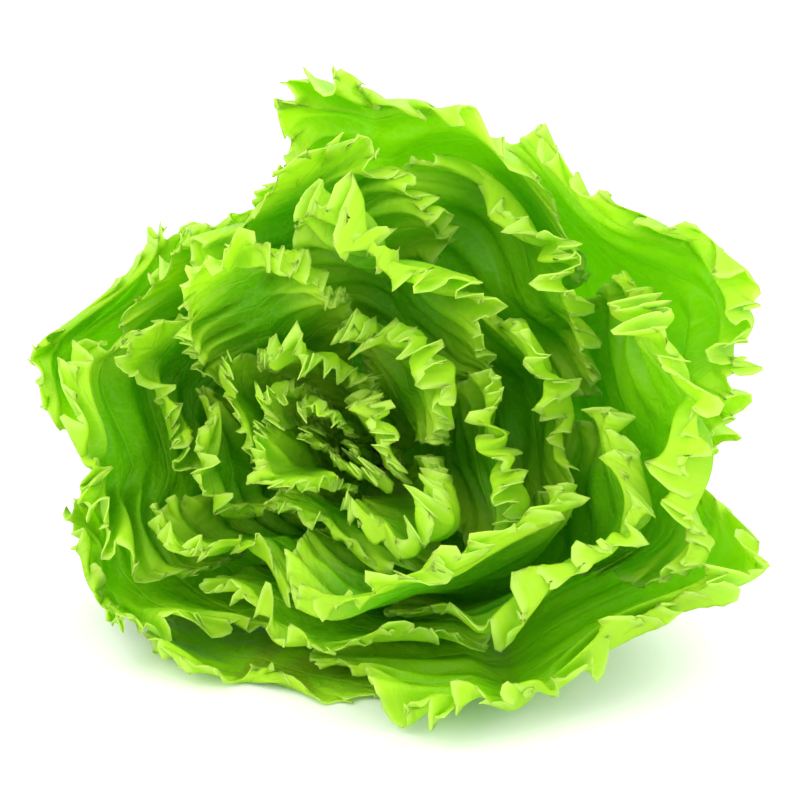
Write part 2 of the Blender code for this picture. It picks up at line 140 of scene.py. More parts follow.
def in_world(x, y, z):
    """World points: turned about the upright through the lowest roots, so that the crown looks aside."""
    turned_x = x * math.cos(AXIS_YAW) + y * math.sin(AXIS_YAW)
    turned_y = y * math.cos(AXIS_YAW) - x * math.sin(AXIS_YAW)
    return np.stack([ROOT_X + turned_x, ROOT_Y + turned_y, z], axis=-1)


def turned(outline, sides):
    """(points, quads) of an outline of (radius, distance along) turned round the stem's axis, base to top.
    Its first and last points lie on the axis. Each is one point there, closed by quads over two sides."""
    radius, along = np.array(outline).T
    side = np.linspace(0, 2 * math.pi, sides, endpoint=False)
    rings = in_world(*around_axis(side[None, :], radius[1:-1, None], along[1:-1, None])).reshape(-1, 3)
    poles = in_world(*around_axis(np.zeros(2), np.zeros(2), along[[0, -1]]))
    ring, spoke = np.meshgrid(np.arange(len(outline) - 3), np.arange(sides), indexing="ij")
    here, after = ring * sides + spoke, ring * sides + (spoke + 1) % sides
    walls = np.stack([corner.ravel() for corner in (here, after, after + sides, here + sides)], axis=1)
    even = np.arange(0, sides, 2)
    fan = np.stack([even, even + 1, (even + 2) % sides], axis=1)
    base = np.column_stack([np.full(len(even), len(rings)), fan[:, ::-1]])
    top = np.column_stack([np.full(len(even), len(rings) + 1), fan + len(rings) - sides])
    return np.vstack([rings, poles]), np.vstack([walls, base, top])


def stem_material():
    """Lettuce stem, grown and cut: fibrous pale skin along the axis, and a cut face with a pale pith, a ring
    of sap vessels and a brown stain, which the eye reads as moist and fresh."""
    made, tree, output = new_material("lettuce_stem_cut")
    place = add_node(tree, "ShaderNodeTexCoord").outputs["Object"]
    from_butt = add_node(tree, "ShaderNodeMapping", [("Vector", place)], vector_type="TEXTURE",
                         in_Location=(ROOT_X, ROOT_Y, ROOT_HEIGHT),
                         in_Rotation=(math.pi / 2 - AXIS_RISE, 0, -AXIS_YAW))
    parts = add_node(tree, "ShaderNodeSeparateXYZ", [("Vector", from_butt.outputs[0])])
    flat = add_node(tree, "ShaderNodeCombineXYZ", [("X", parts.outputs["X"]), ("Y", parts.outputs["Y"])])
    out = add_node(tree, "ShaderNodeVectorMath", [(0, flat.outputs[0])], operation="LENGTH")
    fibres = add_node(tree, "ShaderNodeMapping", [("Vector", from_butt.outputs[0])],
                      in_Scale=(1, 1, 1 / FIBRE_LENGTH))
    grain = add_node(tree, "ShaderNodeTexNoise", [("Vector", fibres.outputs[0])], in_Scale=1 / STEM_FIBRE,
                     in_Detail=4.0)
    vessels = add_node(tree, "ShaderNodeMapRange", [("Value", out.outputs["Value"])],
                       interpolation_type="SMOOTHERSTEP",
                       in_1=BUTT_RADIUS * CUT_RING[0], in_2=BUTT_RADIUS * CUT_RING[1])
    spots = add_node(tree, "ShaderNodeTexNoise", [("Vector", from_butt.outputs[0])], in_Scale=1 / STAIN_SPOT,
                     in_Detail=3.0)
    stain = add_node(tree, "ShaderNodeMapRange", [("Value", spots.outputs[0])],
                     in_1=STAIN_NOISE[0], in_2=STAIN_NOISE[1], in_4=STAIN_SHARE)
    on_cut = add_node(tree, "ShaderNodeMapRange", [("Value", parts.outputs["Z"])],
                      in_1=-BUTT_LENGTH + CUT_DEPTH[0], in_2=-BUTT_LENGTH + CUT_DEPTH[1])
    pith = add_node(tree, "ShaderNodeMix", [("Factor", vessels.outputs[0])], data_type="RGBA",
                    in_6=linear(STEM_PITH), in_7=linear(STEM_SKIN))
    browned = add_node(tree, "ShaderNodeMix", [("Factor", stain.outputs[0]), (6, pith.outputs[2])],
                       data_type="RGBA", in_7=linear(STEM_CUT_BROWN))
    skin = add_node(tree, "ShaderNodeMix", [("Factor", grain.outputs[0])], data_type="RGBA",
                    in_6=linear(STEM_SKIN), in_7=linear(STEM_PITH))
    colour = add_node(tree, "ShaderNodeMix", [("Factor", on_cut.outputs[0]), (6, skin.outputs[2]),
                                              (7, browned.outputs[2])], data_type="RGBA")
    bump = add_node(tree, "ShaderNodeBump", [("Height", grain.outputs[0])], in_Strength=0.5,
                    in_Distance=FIBRE_HEIGHT)
    shader = add_node(tree, "ShaderNodeBsdfPrincipled",
                      [("Base Color", colour.outputs[2]), ("Normal", bump.outputs[0])],
                      in_Roughness=STEM_ROUGHNESS, in_IOR=STEM_IOR)
    tree.links.new(shader.outputs[0], output.inputs["Surface"])
    return made


def stem_radius(along):
    """The stem's cone: its radius falls evenly from the lowest roots to the growing tip."""
    return STEM_RADIUS + (STEM_TIP_RADIUS - STEM_RADIUS) * along / ROOT_SPAN


stem_top = HEART_BASE - NODE_GAP
flat_radius = BUTT_RADIUS - BUTT_ROUNDING
stem_outline = [(0, -BUTT_LENGTH), (BUTT_RADIUS * 0.5, -BUTT_LENGTH), (flat_radius, -BUTT_LENGTH)]
stem_outline += [(flat_radius + BUTT_ROUNDING * math.sin(turn),
                  BUTT_ROUNDING * (1 - math.cos(turn)) - BUTT_LENGTH) for turn in np.radians((30, 60, 90))]
stem_outline += [(STEM_RADIUS, 0.0), (stem_radius(stem_top), stem_top), (0, stem_top)]
stem_points, stem_quads = turned(stem_outline, STEM_SIDES)
new_piece("stem_core", stem_points, stem_quads, stem_material(), "stem")

# The head's layers: leaves grow one inside the other, as an onion's layers do, and bend where the head lies
# on the floor. A point in the head has a turn (direction round the axis), a level (0 at the heart, 1 in the
# outermost leaf) and a reach (distance along its layer from the leaf's root).
ROOT_GAP = 0.0005                  # from the stem to the root of a large leaf
ROOT_SINK = 0.0010                 # of a young leaf's root into the heart's core
REACH_FULL = 0.180
INNER_ANGLES = (math.radians(7), math.radians(-15))      # of the innermost layer, at the root and at the end
OUTER_ANGLES = (math.radians(84), math.radians(14))      # of the outermost layer
FLOOR_ANGLES = (math.radians(88), math.radians(27))      # of the outermost layer, bent for the floor
FLOOR_FADE = 0.14                  # of the full reach, in which a bent layer levels out
FLOOR_PRESS = 0.0020               # how far under the floor the lowest leaf would go, were it not pressed
FLOOR_GAP = 0.0003
SIDE_SPREAD = 0.16
GOLDEN_TURN = math.radians(137.508)
LEAF_COUNT = 27
HEART_COUNT = 6
ALL_LEAVES = LEAF_COUNT + HEART_COUNT
FIRST_TURN = math.radians(-102)    # of the outermost leaf, which lies on the floor
LONGEST_LEAF = 0.166
RIB_THICKNESS = (0.0016, 0.0034)
FLOOR_LEAVES = 9                   # leaves that may be the outermost in some direction
FLOOR_BESIDE = (0.78, 0.30)        # how far beside its middle one of them counts, and over what it fades
TURN_SAMPLES, BEND_SAMPLES, FLOOR_SAMPLES = 121, 79, 40
MOST_BEND = 1.3
LEAST_OUT = 0.002
LEAST_SPACING = 0.004
LEAST_FALL = 0.001                 # of height with each level, where floor_room divides by it
LEVEL_STEP = 0.004
PUSH_START, PUSH_FADE, PUSH_HEIGHT = 0.033, 0.06, 0.05
# A push along x, y or z is (size, waves in a metre along x, along y and along z, phase).
PUSH = ((0.0080, 0.0, 4.8, 6.7, 2.3), (0.0080, 7.7, 0.0, 5.3, 1.0), (0.0070, 7.1, -4.3, 0.0, -0.1))
RUMPLE = ((0.0045, 3.1, 8.9, 14.2, 0.7), (0.0065, 13.1, 4.0, -9.7, 3.9), (0.0045, -12.3, 7.7, 6.1, 5.2))
SIDE_STRETCH = (0.05, 0.30)        # how much the head is drawn out to the left and to the right
STRETCH_BLEND = 0.10               # across the middle, where one goes over into the other
TOP_STRETCH = 0.16                 # how much it is drawn up, at TOP_FULL and over it
TOP_START, TOP_FULL = 0.080, 0.240
GAUSS_POINTS, GAUSS_WEIGHTS = np.polynomial.legendre.leggauss(8)


def mix(ends, share):
    """The value this share of the way from ends[0] to ends[1]."""
    return ends[0] + (ends[1] - ends[0]) * share


def smooth(x):
    """0 below 0, 1 above 1, and the S-curve 3x^2 - 2x^3 between."""
    x = np.clip(x, 0.0, 1.0)
    return x * x * (3 - 2 * x)


def within_turn(angle):
    """The same direction, between minus half a turn and half a turn."""
    return np.remainder(angle + math.pi, 2 * math.pi) - math.pi


def azimuth(turn):
    """Direction round the axis, from +X towards up: turns lie further apart at the underside."""
    return turn + SIDE_SPREAD * np.cos(turn)


def azimuth_rate(turn):
    """How fast the azimuth grows with the turn."""
    return 1 - SIDE_SPREAD * np.sin(turn)


def slope(level, floor, share):
    """A layer's angle from the axis: it runs evenly from its angle at the root to that at full reach, and on
    the floor it levels out early instead. Inner layers curl in, and outer ones lie open."""
    settled = (1 - np.exp(-share / FLOOR_FADE)) / (1 - math.exp(-1 / FLOOR_FADE))
    outer = mix((mix(OUTER_ANGLES, share), mix(FLOOR_ANGLES, settled)), floor)
    return mix((mix(INNER_ANGLES, share), outer), level)


def profile(level, floor, reach):
    """(distance out from the axis, distance along it) of a layer: the sine and the cosine of its slope,
    summed up from the root at eight Gauss points."""
    gap = mix((-ROOT_SINK, ROOT_GAP), smooth(level * ALL_LEAVES - HEART_COUNT))
    out = mix((STEM_TIP_RADIUS, STEM_RADIUS), level) + gap + mix(RIB_THICKNESS, level) / 2
    along = ROOT_SPAN * (1 - level)
    for point, weight in zip(GAUSS_POINTS, GAUSS_WEIGHTS):
        angle = slope(level, floor, reach * (point + 1) / 2 / REACH_FULL)
        out = out + reach * weight / 2 * np.sin(angle)
        along = along + reach * weight / 2 * np.cos(angle)
    return np.maximum(out, LEAST_OUT), along


def lowest_level(turn):
    """Level of the outermost leaf that lies in this direction, fading off beside it."""
    top = np.full(np.shape(turn), 1 - FLOOR_LEAVES / ALL_LEAVES)
    for order in range(FLOOR_LEAVES):
        away = np.abs(within_turn(turn - FIRST_TURN - order * GOLDEN_TURN))
        holds = smooth(1 - (away - FLOOR_BESIDE[0]) / FLOOR_BESIDE[1])
        top = np.maximum(top, (1 - order / ALL_LEAVES) * holds)
    return top


def floor_table():
    """(turns, bends): how far the layers bend, in directions all round, so that the outermost leaf there
    goes no further under the floor than it is pressed flat."""
    turn = np.radians(np.linspace(-180, 180, TURN_SAMPLES))
    bend = np.linspace(0, MOST_BEND, BEND_SAMPLES)
    reach = np.linspace(0, LONGEST_LEAF, FLOOR_SAMPLES)
    out, along = profile(lowest_level(turn)[:, None, None], bend[None, :, None], reach[None, None, :])
    lowest = height(azimuth(turn)[:, None, None], out, along).min(axis=2)
    bends = [np.interp(-FLOOR_PRESS, row, bend) if row[0] < -FLOOR_PRESS else 0.0 for row in lowest]
    return turn, np.array(bends)


floor_turns, floor_bends = floor_table()


def floor_bend(turn):
    """How far the layers in this direction bend for the floor."""
    return np.interp(within_turn(turn), floor_turns, floor_bends)


def layer_spacing(level, turn, reach):
    """Metres from layer to layer, for each unit of level, square to the layer."""
    floor = floor_bend(turn)
    out_in, along_in = profile(level - LEVEL_STEP, floor, reach)
    out_on, along_on = profile(level + LEVEL_STEP, floor, reach)
    angle = slope(level, floor, reach / REACH_FULL)
    apart = (out_on - out_in) * np.cos(angle) - (along_on - along_in) * np.sin(angle)
    return np.maximum(np.abs(apart) / (2 * LEVEL_STEP), LEAST_SPACING)


def floor_room(level, turn, reach):
    """Levels free between a layer and the floor under it."""
    side = azimuth(turn)
    here = height(side, *profile(level, floor_bend(turn), reach))
    below = height(side, *profile(level + LEVEL_STEP, floor_bend(turn), reach))
    return np.maximum(here - FLOOR_GAP, 0) / np.maximum((here - below) / LEVEL_STEP, LEAST_FALL)


def in_head(turn, level, reach):
    """World points of the head's own coordinates. The head isn't round: it is drawn out to the sides and
    upwards, and sine waves push it along x, y and z, three broad ones and three that rumple it, all of them
    less near the stem and near the floor."""
    out, along = profile(level, floor_bend(turn), reach)
    x, y, z = around_axis(azimuth(turn), out, along)
    z = np.maximum(z, FLOOR_GAP)
    away = np.hypot(out, along - ROOT_SPAN / 2)
    free = smooth(z / PUSH_HEIGHT) * smooth((away - PUSH_START) / PUSH_FADE)
    waves = [free * size * np.sin(2 * math.pi * (first * x + second * y + third * z) + phase)
             for size, first, second, third, phase in PUSH + RUMPLE]
    push_x, push_y, push_z = (waves[axis] + waves[axis + 3] for axis in range(3))
    push_x = push_x + free * x * mix(SIDE_STRETCH, smooth(x / STRETCH_BLEND + 0.5))
    push_z = push_z + free * (z - TOP_START) * TOP_STRETCH * smooth((z - TOP_START) / (TOP_FULL - TOP_START))
    return in_world(x + push_x, y + push_y, z + push_z)


# Leaves: thin, tender blades that grow faster at the margin than inside it, so the margin folds into frills,
# and the frills into finer ruffles and crimps with small teeth. Each is one closed sheet round a stout
# midrib, with its root on the stem, and its folds keep to its own layer, out of its neighbours' way.
SEED = 11
TURN_SCATTER = math.radians(5)
SCATTER_FROM = 8                   # the order of the first leaf that strays from the golden turn
LEAF_LENGTH = (0.110, LONGEST_LEAF)
LENGTH_SCATTER = 0.18
LENGTH_STEADY = 0.25               # levels in from the outermost leaf, over which that sets in
WIDTH_SCATTER = 0.08
DEPTH_SCATTER = 0.12
LEAF_HALF_WIDTH = (0.036, 0.095)
ROOT_HALF_WIDTH = (0.0035, 0.0120)
HALF_TURN = (math.radians(43), math.radians(39))         # most turn of half a leaf, inner and outer leaves
OPEN_LEVEL = 0.62                  # the level from which leaves have the outer one
ROOT_TURN = math.radians(33)       # most turn of half a leaf at its root
ROOT_CROWD = 0.045                 # the reach where that has gone over into the leaf's own
BLADE_WIDEST = 1.7                 # over 1 sets the widest place further towards the tip
BLADE_FULLNESS = 0.45              # under 1 makes the blade's outline fuller
RIB_LENGTH = 0.94                  # of the leaf's length
VEIN_SLANT = 1.25                  # over 1 slants the side veins towards the tip
LEAST_ARM = 0.003                  # out from the axis, where a width is turned into an angle
MARGIN_SAMPLES, REACH_SAMPLES = 400, 200
FRILL_DEPTH = (0.0100, 0.0180)
FRILL_INSIDE = 0.08                # of the way out from the midrib, where the folds start
FRILL_START = 0.20                 # of the margin from the root, which stays plain
FRILL_FADE = 0.25                  # of the margin after that, in which the frills set in
LEAN_RISE = 1.5
FRILL_PITCH = (0.0105, 0.0210)     # from fold to fold along the margin
FRILL_CURL = 0.85                  # over 0.5, a fold's walls hang over its neck
CURL_RISE = 4
INNER_SWAY = 4                     # how much the folds wander on their way to the midrib
BILLOWS = 0.37                     # broad billows to each frill
BILLOW_SHARE = 0.20                # of the frill's depth
BULGES = 0.6                       # bulges inside the blade to each frill, side by side
BULGE_LENGTH = 0.045               # along the blade, from one bulge to the next but one
BULGE_SHARE = 0.42                 # of the frill's depth, half-way between the midrib and the margin
RUFFLES = 2.3                      # finer ruffles to each frill
RUFFLE_SHARE = 0.55                # of the frill's depth
RUFFLE_RISE = 6
RUFFLE_CURL = 0.60
CRIMPS = 1.6                       # fine crimps to each ruffle
CRIMP_SHARE = 0.45                 # of the ruffle's depth
CRIMP_RISE = 9
FOLD_SHARE = 0.72                  # of the frill's depth that runs far down into the blade as a fold
FOLD_RISE = 0.8
FLARE_RISE = 6                     # how close to the margin the rest of it flares out
ROLL = 0.0030                      # how far the flared lobes roll back towards the root
ROLL_RISE = 12
TOOTH_PITCH = 0.0042
TOOTH_DEPTH = 0.0020
TOOTH_RISE = 24
LEAST_EDGE = 0.01                  # from the root, where a tooth's depth is set against its distance from it
LOBE_DEPTH = 0.040                 # how far the margin wanders in and out, as a share of that distance
MOST_LOBE = 0.045
LOBE_RISE = 2
YOUNG_LEVEL = 0.20                 # under this level leaves are young ones
YOUNG_SHARE = 0.45                 # of a grown leaf's size, raised to a power for each size
MOST_LIFT = 1.25                   # off the leaf's layer, in frill depths
BESIDE = (0.05, 0.22)              # turn beside a leaf that still counts as its place, and then fades
BEYOND = (0.008, 0.018)            # the same for the reach past its tip
CLEARANCE = (0.0014, 0.0008)       # kept to each neighbour, by young leaves and by the others
CLEARANCE_LEVEL = 0.3              # where the one has gone over into the other
BLADE_THICKNESS = 0.0006
RIB_WIDTH = 0.0032
RIB_ABOVE, RIB_BELOW = 0.25, 0.60  # of the midrib's thickness over the blade's
SIDE_VEINS = 9                     # on each side of the midrib
PLACE_STEP = 0.5                   # metres from leaf to leaf in the materials' patterns
SPREAD_SIDES = (-180, -135, -90, -60, -35, -15, 0, 45, 90, 135, 180)
SPREAD_SHARES = (0.91, 1.00, 0.98, 1.06, 1.20, 1.14, 1.06, 1.10, 1.06, 0.94, 0.91)
COLUMN_STEP = 0.00094              # along the margin, from one column of points to the next
LEAF_ROWS = 20
ROW_CROWDING = 1.5                 # over 1 sets the rows closer together towards the margin


def waver(terms, x):
    """A smooth curve that wanders about 0: the sum of sine waves given as (size, frequency, phase)."""
    return sum(size * np.sin(2 * math.pi * rate * x + phase) for size, rate, phase in terms)


class Leaf:
    """One leaf: its layer, its direction and its own sizes. order 0 is the outermost."""

    def __init__(self, order):
        draws = np.random.default_rng(SEED + order)
        vary = draws.uniform(-1, 1, 5)
        self.order = order
        scatter = TURN_SCATTER * vary[4] * (order >= SCATTER_FROM)
        self.turn = float(within_turn(FIRST_TURN + order * GOLDEN_TURN)) + scatter
        self.level = 1 - order / ALL_LEAVES
        age = max(0.0, (self.level - YOUNG_LEVEL) / (1 - YOUNG_LEVEL))
        young = min(1.0, mix((YOUNG_SHARE, 1), self.level / YOUNG_LEVEL))
        spread = np.interp(np.degrees(within_turn(azimuth(self.turn))), SPREAD_SIDES, SPREAD_SHARES)
        own = 1 + LENGTH_SCATTER * vary[0] * min(1, (1 - self.level) / LENGTH_STEADY)
        self.length = mix(LEAF_LENGTH, age ** 0.5) * spread ** self.level * own * young ** 0.7
        self.half_width = mix(LEAF_HALF_WIDTH, age) * (1 + WIDTH_SCATTER * vary[1]) * young ** 0.7
        self.root_half_width = mix(ROOT_HALF_WIDTH, age)
        self.frill_depth = mix(FRILL_DEPTH, age) * (1 + DEPTH_SCATTER * vary[2]) * young ** 0.5
        self.widest = mix(HALF_TURN, min(1, self.level / OPEN_LEVEL))
        self.reaches = np.linspace(0, self.length, REACH_SAMPLES)
        self.outs = np.maximum(profile(self.level, floor_bend(self.turn), self.reaches)[0], LEAST_ARM)
        self.flat = self.flat_margin()
        across = np.interp(self.reaches, self.flat[2], self.flat[1])
        self.spreads = across / self.outs / azimuth_rate(self.turn) + BESIDE[0]
        pitch = mix(FRILL_PITCH, age) * young ** 0.5
        waves = max(4, round(self.flat[0][-1] * (1 - FRILL_START) / pitch))
        self.wave_length = (1 - FRILL_START) / waves
        self.tip_phase = math.pi * draws.integers(2)
        phases = draws.uniform(0, 2 * math.pi, 6)
        # The leaf's own slow curves along its margin, for waver: (size, waves from tip to root, phase).
        self.swell = [(0.30, 2.3, phases[0]), (0.25, 5.1, phases[1])]
        self.uneven = [(0.018, 1.3, phases[2]), (0.009, 3.1, phases[4]), (0.0035, 6.7, phases[1])]
        self.sway = [(0.7, 0.9, phases[5]), (0.5, 2.2, phases[0])]
        self.lean = [(0.55, 0.4, phases[2]), (0.50, 0.9, phases[3])]
        self.lobe = [(0.4, waves, phases[4]), (0.9, waves * 0.37, phases[5]), (1.3, 2.9, phases[3])]
        self.ruffle = [(1.1, 1.7, phases[0]), (0.8, 3.9, phases[3])]
        self.crimp = [(1.6, 3.3, phases[1]), (1.2, 7.3, phases[5])]

    def limit(self, reach):
        """Most turn that half of the leaf may cover: less at the root, where the leaves are crowded."""
        return mix((min(ROOT_TURN, self.widest), self.widest), smooth(reach / ROOT_CROWD))

    def flat_margin(self):
        """(run along the margin, half-width, reach) of one side of the flat leaf, root to tip. The half-width
        is a sine of the share of the length, drawn towards the tip and filled out by two powers."""
        share = np.sin(np.linspace(0, math.pi / 2, MARGIN_SAMPLES))
        blade = np.sin(math.pi * np.clip(share, 0, 1) ** BLADE_WIDEST).clip(0, 1) ** BLADE_FULLNESS
        reach = self.length * share
        most = self.limit(reach) * np.interp(reach, self.reaches, self.outs) * azimuth_rate(self.turn)
        across = self.root_half_width * (1 - share) + self.half_width * blade
        across = np.minimum(across, most * np.maximum(blade, 1 - share))
        run = np.concatenate([[0], np.cumsum(np.hypot(np.diff(across), np.diff(reach)))])
        return run, across, reach

    def covers(self, turn, reach):
        """1 where this leaf may be in the way of another, 0 where it is clear of it."""
        away = np.abs(within_turn(turn - self.turn))
        beside = smooth(1 - (away - np.interp(reach, self.reaches, self.spreads)) / BESIDE[1])
        return beside * smooth(1 - (reach - self.length - BEYOND[0]) / BEYOND[1])

    def room(self, turn, reach, spacing):
        """Levels free below and above this leaf, out to half-way to the next leaf that overlaps it there."""
        most = MOST_LIFT * self.frill_depth / spacing
        low = high = most + np.zeros(np.shape(turn))
        for other in leaves:
            if other is self:
                continue
            gap = abs(other.level - self.level) / 2
            apart = gap + np.maximum(most - gap, 0) * (1 - other.covers(turn, reach))
            if other.level > self.level:
                high = np.minimum(high, apart)
            else:
                low = np.minimum(low, apart)
        keep = mix(CLEARANCE, smooth(self.level / CLEARANCE_LEVEL)) / spacing
        high = np.minimum(high - keep, floor_room(self.level, turn, reach))
        return np.maximum(low - keep, 0), np.maximum(high, 0)

    def phases(self, margin, vein):
        """Where in its fold, in its ruffle and in its crimp each point is, in radians. The folds follow the
        margin and wander on their way to the midrib. A set number of ruffles goes to each fold, and of crimps
        to each ruffle, and both drift against them along the margin."""
        fold = self.tip_phase + 2 * math.pi * margin / self.wave_length
        fold = fold + INNER_SWAY * (1 - vein) * waver(self.sway, margin)
        ruffle = RUFFLES * fold + waver(self.ruffle, margin)
        return fold, ruffle, CRIMPS * ruffle + waver(self.crimp, margin)

    def curled(self, margin, vein, frilled, fold, ruffle):
        """The place along the margin, shifted by sines of twice the rate of the folds and of the ruffles, so
        that each bulges over its own neck, and by a slow curve that makes the folds uneven."""
        curl = FRILL_CURL * np.sin(2 * fold) * vein ** CURL_RISE
        curl = curl + RUFFLE_CURL * np.sin(2 * ruffle) * vein ** RUFFLE_RISE / RUFFLES
        shift = curl * self.wave_length / (2 * math.pi) + vein * waver(self.uneven, margin)
        return margin + frilled * shift

    def flat_place(self, margin, vein, frilled, fold, tooth):
        """(distance from the midrib, reach, length of the vein) on the flat leaf. A vein runs straight to the
        margin, from a place on the midrib that is a power of the reach it ends at. A slow curve and the teeth
        lengthen it, and where a fold is highest or lowest its end rolls back towards the root."""
        run, across_edge, reach_edge = self.flat
        at = (1 - np.abs(margin)) * run[-1]
        across_edge, reach_edge = np.interp(at, run, across_edge), np.interp(at, run, reach_edge)
        rib = RIB_LENGTH * self.length * (reach_edge / self.length) ** VEIN_SLANT
        lobe = np.minimum(LOBE_DEPTH * waver(self.lobe, margin), MOST_LOBE)
        longer = 1 + frilled * vein ** LOBE_RISE * lobe
        longer = longer + tooth * TOOTH_DEPTH / np.maximum(np.hypot(across_edge, reach_edge), LEAST_EDGE)
        reach = rib + (reach_edge * longer - rib) * vein
        reach = np.maximum(reach - ROLL * frilled * np.cos(fold) ** 2 * vein ** ROLL_RISE, 0)
        return across_edge * vein * longer, reach, np.hypot(across_edge, reach_edge - rib)

    def lift(self, margin, vein, reach, fold, ruffle, crimp):
        """How far the blade is off the middle of its room, from -1 to 1: cosines of the fold, the ruffle and
        the crimp, each rising with a power of the way out, mixed with broad billows, and with bulges inside
        the blade, whose share is a parabola over the way out, 0 at both ends and full half-way."""
        swell = 1 - np.abs(waver(self.swell, margin))
        inside = np.clip((vein - FRILL_INSIDE) / (1 - FRILL_INSIDE), 0, 1) ** FOLD_RISE
        rise = mix((vein ** FLARE_RISE, inside), FOLD_SHARE)
        fine = mix((np.cos(ruffle), np.cos(crimp)), CRIMP_SHARE * vein ** CRIMP_RISE)
        wave = mix((swell * np.cos(fold) * rise, fine), RUFFLE_SHARE * vein ** RUFFLE_RISE)
        billow = np.cos(BILLOWS * fold + waver(self.ruffle, margin)) * inside
        bulge = np.sin(BULGES * fold) * np.sin(2 * math.pi * reach / BULGE_LENGTH + self.tip_phase)
        return mix((mix((wave, billow), BILLOW_SHARE), bulge), BULGE_SHARE * 4 * vein * (1 - vein))

    def surface(self, margin, vein):
        """World points of the leaf's middle, and the flat_at and vein_at that its material reads there.
        margin runs from -1 at the root, over 0 at the tip, to 1 at the root again, and vein from 0 at the
        midrib to 1 at the margin. flat_at is the place on the flat leaf and the leaf's own place in the
        patterns. vein_at is the count of side veins, vein, and the distance from the margin along a vein."""
        frilled = smooth((1 - FRILL_START - np.abs(margin)) / FRILL_FADE)
        fold, ruffle, crimp = self.phases(margin, vein)
        tooth = np.abs(np.sin(math.pi * margin * self.flat[0][-1] / TOOTH_PITCH))
        tooth = tooth * frilled * vein ** TOOTH_RISE
        margin = self.curled(margin, vein, frilled, fold, ruffle)
        across, reach, vein_length = self.flat_place(margin, vein, frilled, fold, tooth)
        angle = across / np.interp(reach, self.reaches, self.outs) / azimuth_rate(self.turn)
        turn = self.turn + np.sign(margin) * angle
        spacing = layer_spacing(self.level, turn, reach)
        low, high = self.room(turn, reach, spacing)
        half = np.minimum((low + high) / 2, self.frill_depth / spacing)
        lean = (high - low) / 2 + np.clip(waver(self.lean, margin), -1, 1) * ((low + high) / 2 - half)
        wave = self.lift(margin, vein, reach, fold, ruffle, crimp)
        points = in_head(turn, self.level + frilled * (lean * vein ** LEAN_RISE + half * wave), reach)
        own_place = np.full(np.shape(vein), self.order * PLACE_STEP)
        flat_at = np.stack([np.sign(margin) * across, reach, own_place], axis=-1)
        vein_at = np.stack([np.abs(margin) * SIDE_VEINS, vein, (1 - vein) * vein_length], axis=-1)
        return points, flat_at, vein_at


leaves = [Leaf(order) for order in range(ALL_LEAVES)]


def leaf_faces(columns, rows):
    """Quads of the leaf's sheet. Its points are half a row along the midrib, root last, and then full rows
    that follow the margin from root over tip to root."""
    half = columns // 2
    column = np.arange(columns)
    first = np.abs(np.arange(columns + 1) - half)
    row_at = half + 1 + np.arange(rows)[:, None] * (columns + 1)
    inner = np.vstack([first[None, :], (row_at + np.arange(columns + 1)[None, :])])
    below, above = inner[:-1], inner[1:]
    corners = (below[:, column], below[:, column + 1], above[:, column + 1], above[:, column])
    rim = np.concatenate([inner[:0:-1, 0], inner[:, -1], inner[-1, -2:0:-1]])
    return np.stack([corner.ravel() for corner in corners], axis=1), rim


def point_normals(points, quads):
    """Unit normals of the points: the cross products of each face's diagonals, summed up at its corners."""
    across = np.cross(points[quads[:, 2]] - points[quads[:, 0]], points[quads[:, 3]] - points[quads[:, 1]])
    corners = quads.ravel()
    total = np.stack([np.bincount(corners, np.repeat(part, 4), len(points)) for part in across.T], axis=1)
    return total / np.maximum(np.linalg.norm(total, axis=1, keepdims=True), 1e-12)


def leaf_solid(leaf, rows):
    """(points, quads, attributes) of a leaf: its middle sheet, moved half its thickness to both sides and
    closed with a strip round its rim. The midrib swells out, mostly underneath, as a bell curve across it."""
    half = round(leaf.flat[0][-1] / COLUMN_STEP)
    columns = 2 * half
    veins = 1 - (1 - np.arange(rows + 1) / rows) ** ROW_CROWDING
    margins = np.linspace(-1, 1, columns + 1)
    margin = np.concatenate([np.abs(margins[half:]), np.tile(margins, rows)])
    vein = np.concatenate([np.zeros(half + 1), np.repeat(veins[1:], columns + 1)])
    middle, flat_at, vein_at = leaf.surface(margin, vein)
    quads, rim = leaf_faces(columns, rows)
    normals = point_normals(middle, quads)
    stout = mix(RIB_THICKNESS, leaf.level) - BLADE_THICKNESS
    rib = stout * np.exp(-(flat_at[:, 0] / RIB_WIDTH) ** 2) * (1 - flat_at[:, 1] / leaf.length).clip(0, 1)
    upper = middle + normals * (BLADE_THICKNESS / 2 + RIB_ABOVE * rib)[:, None]
    lower = middle - normals * (BLADE_THICKNESS / 2 + RIB_BELOW * rib)[:, None]
    count = len(middle)
    after = np.roll(rim, -1)
    strip = np.stack([after, rim, rim + count, after + count], axis=1)
    points = np.vstack([upper, lower])
    points[:, 2] = np.maximum(points[:, 2], 0.0)
    attributes = {"flat_at": np.vstack([flat_at, flat_at]), "vein_at": np.vstack([vein_at, vein_at])}
    return points, np.vstack([quads, quads[:, ::-1] + count, strip]), attributes


LEAF_SHADED_HOLLOW = "#78CC04"            # painted shade: the darker green of the inner leaves, for the shade deep in the head
LEAF_DEEP = "#9ADE06"              # inside the blades of the outer leaves, clouded with the next
LEAF_GREEN = "#B0E80C"
LEAF_MARGIN = "#C8EE32"
LEAF_PALE = "#DBF578"              # the veins and the very edge
LEAF_LIGHT_THROUGH = "#C9F210"
LEAF_ROUGHNESS = (0.32, 0.52)      # where a blister is low, which keeps it wet, and where it is high
LEAF_IOR = 1.40
LEAF_MIRROR = 0.35                 # strength of its mirror-like gloss, which is 0.5 on a plain surface
LIGHT_THROUGH = 0.54               # share of the light that passes on through the blade
CLOUD = 0.022                      # across the clouds of paler and deeper green
SHADE_ORDERS = (4, 12)            # between these leaves the outer colour goes over into the inner leaves' painted shade
BLISTER = 0.0085                   # across the bulges between the veins
BLISTER_HEIGHT = 0.0026
VEIN_GROOVE = 0.14                 # of the blister's height
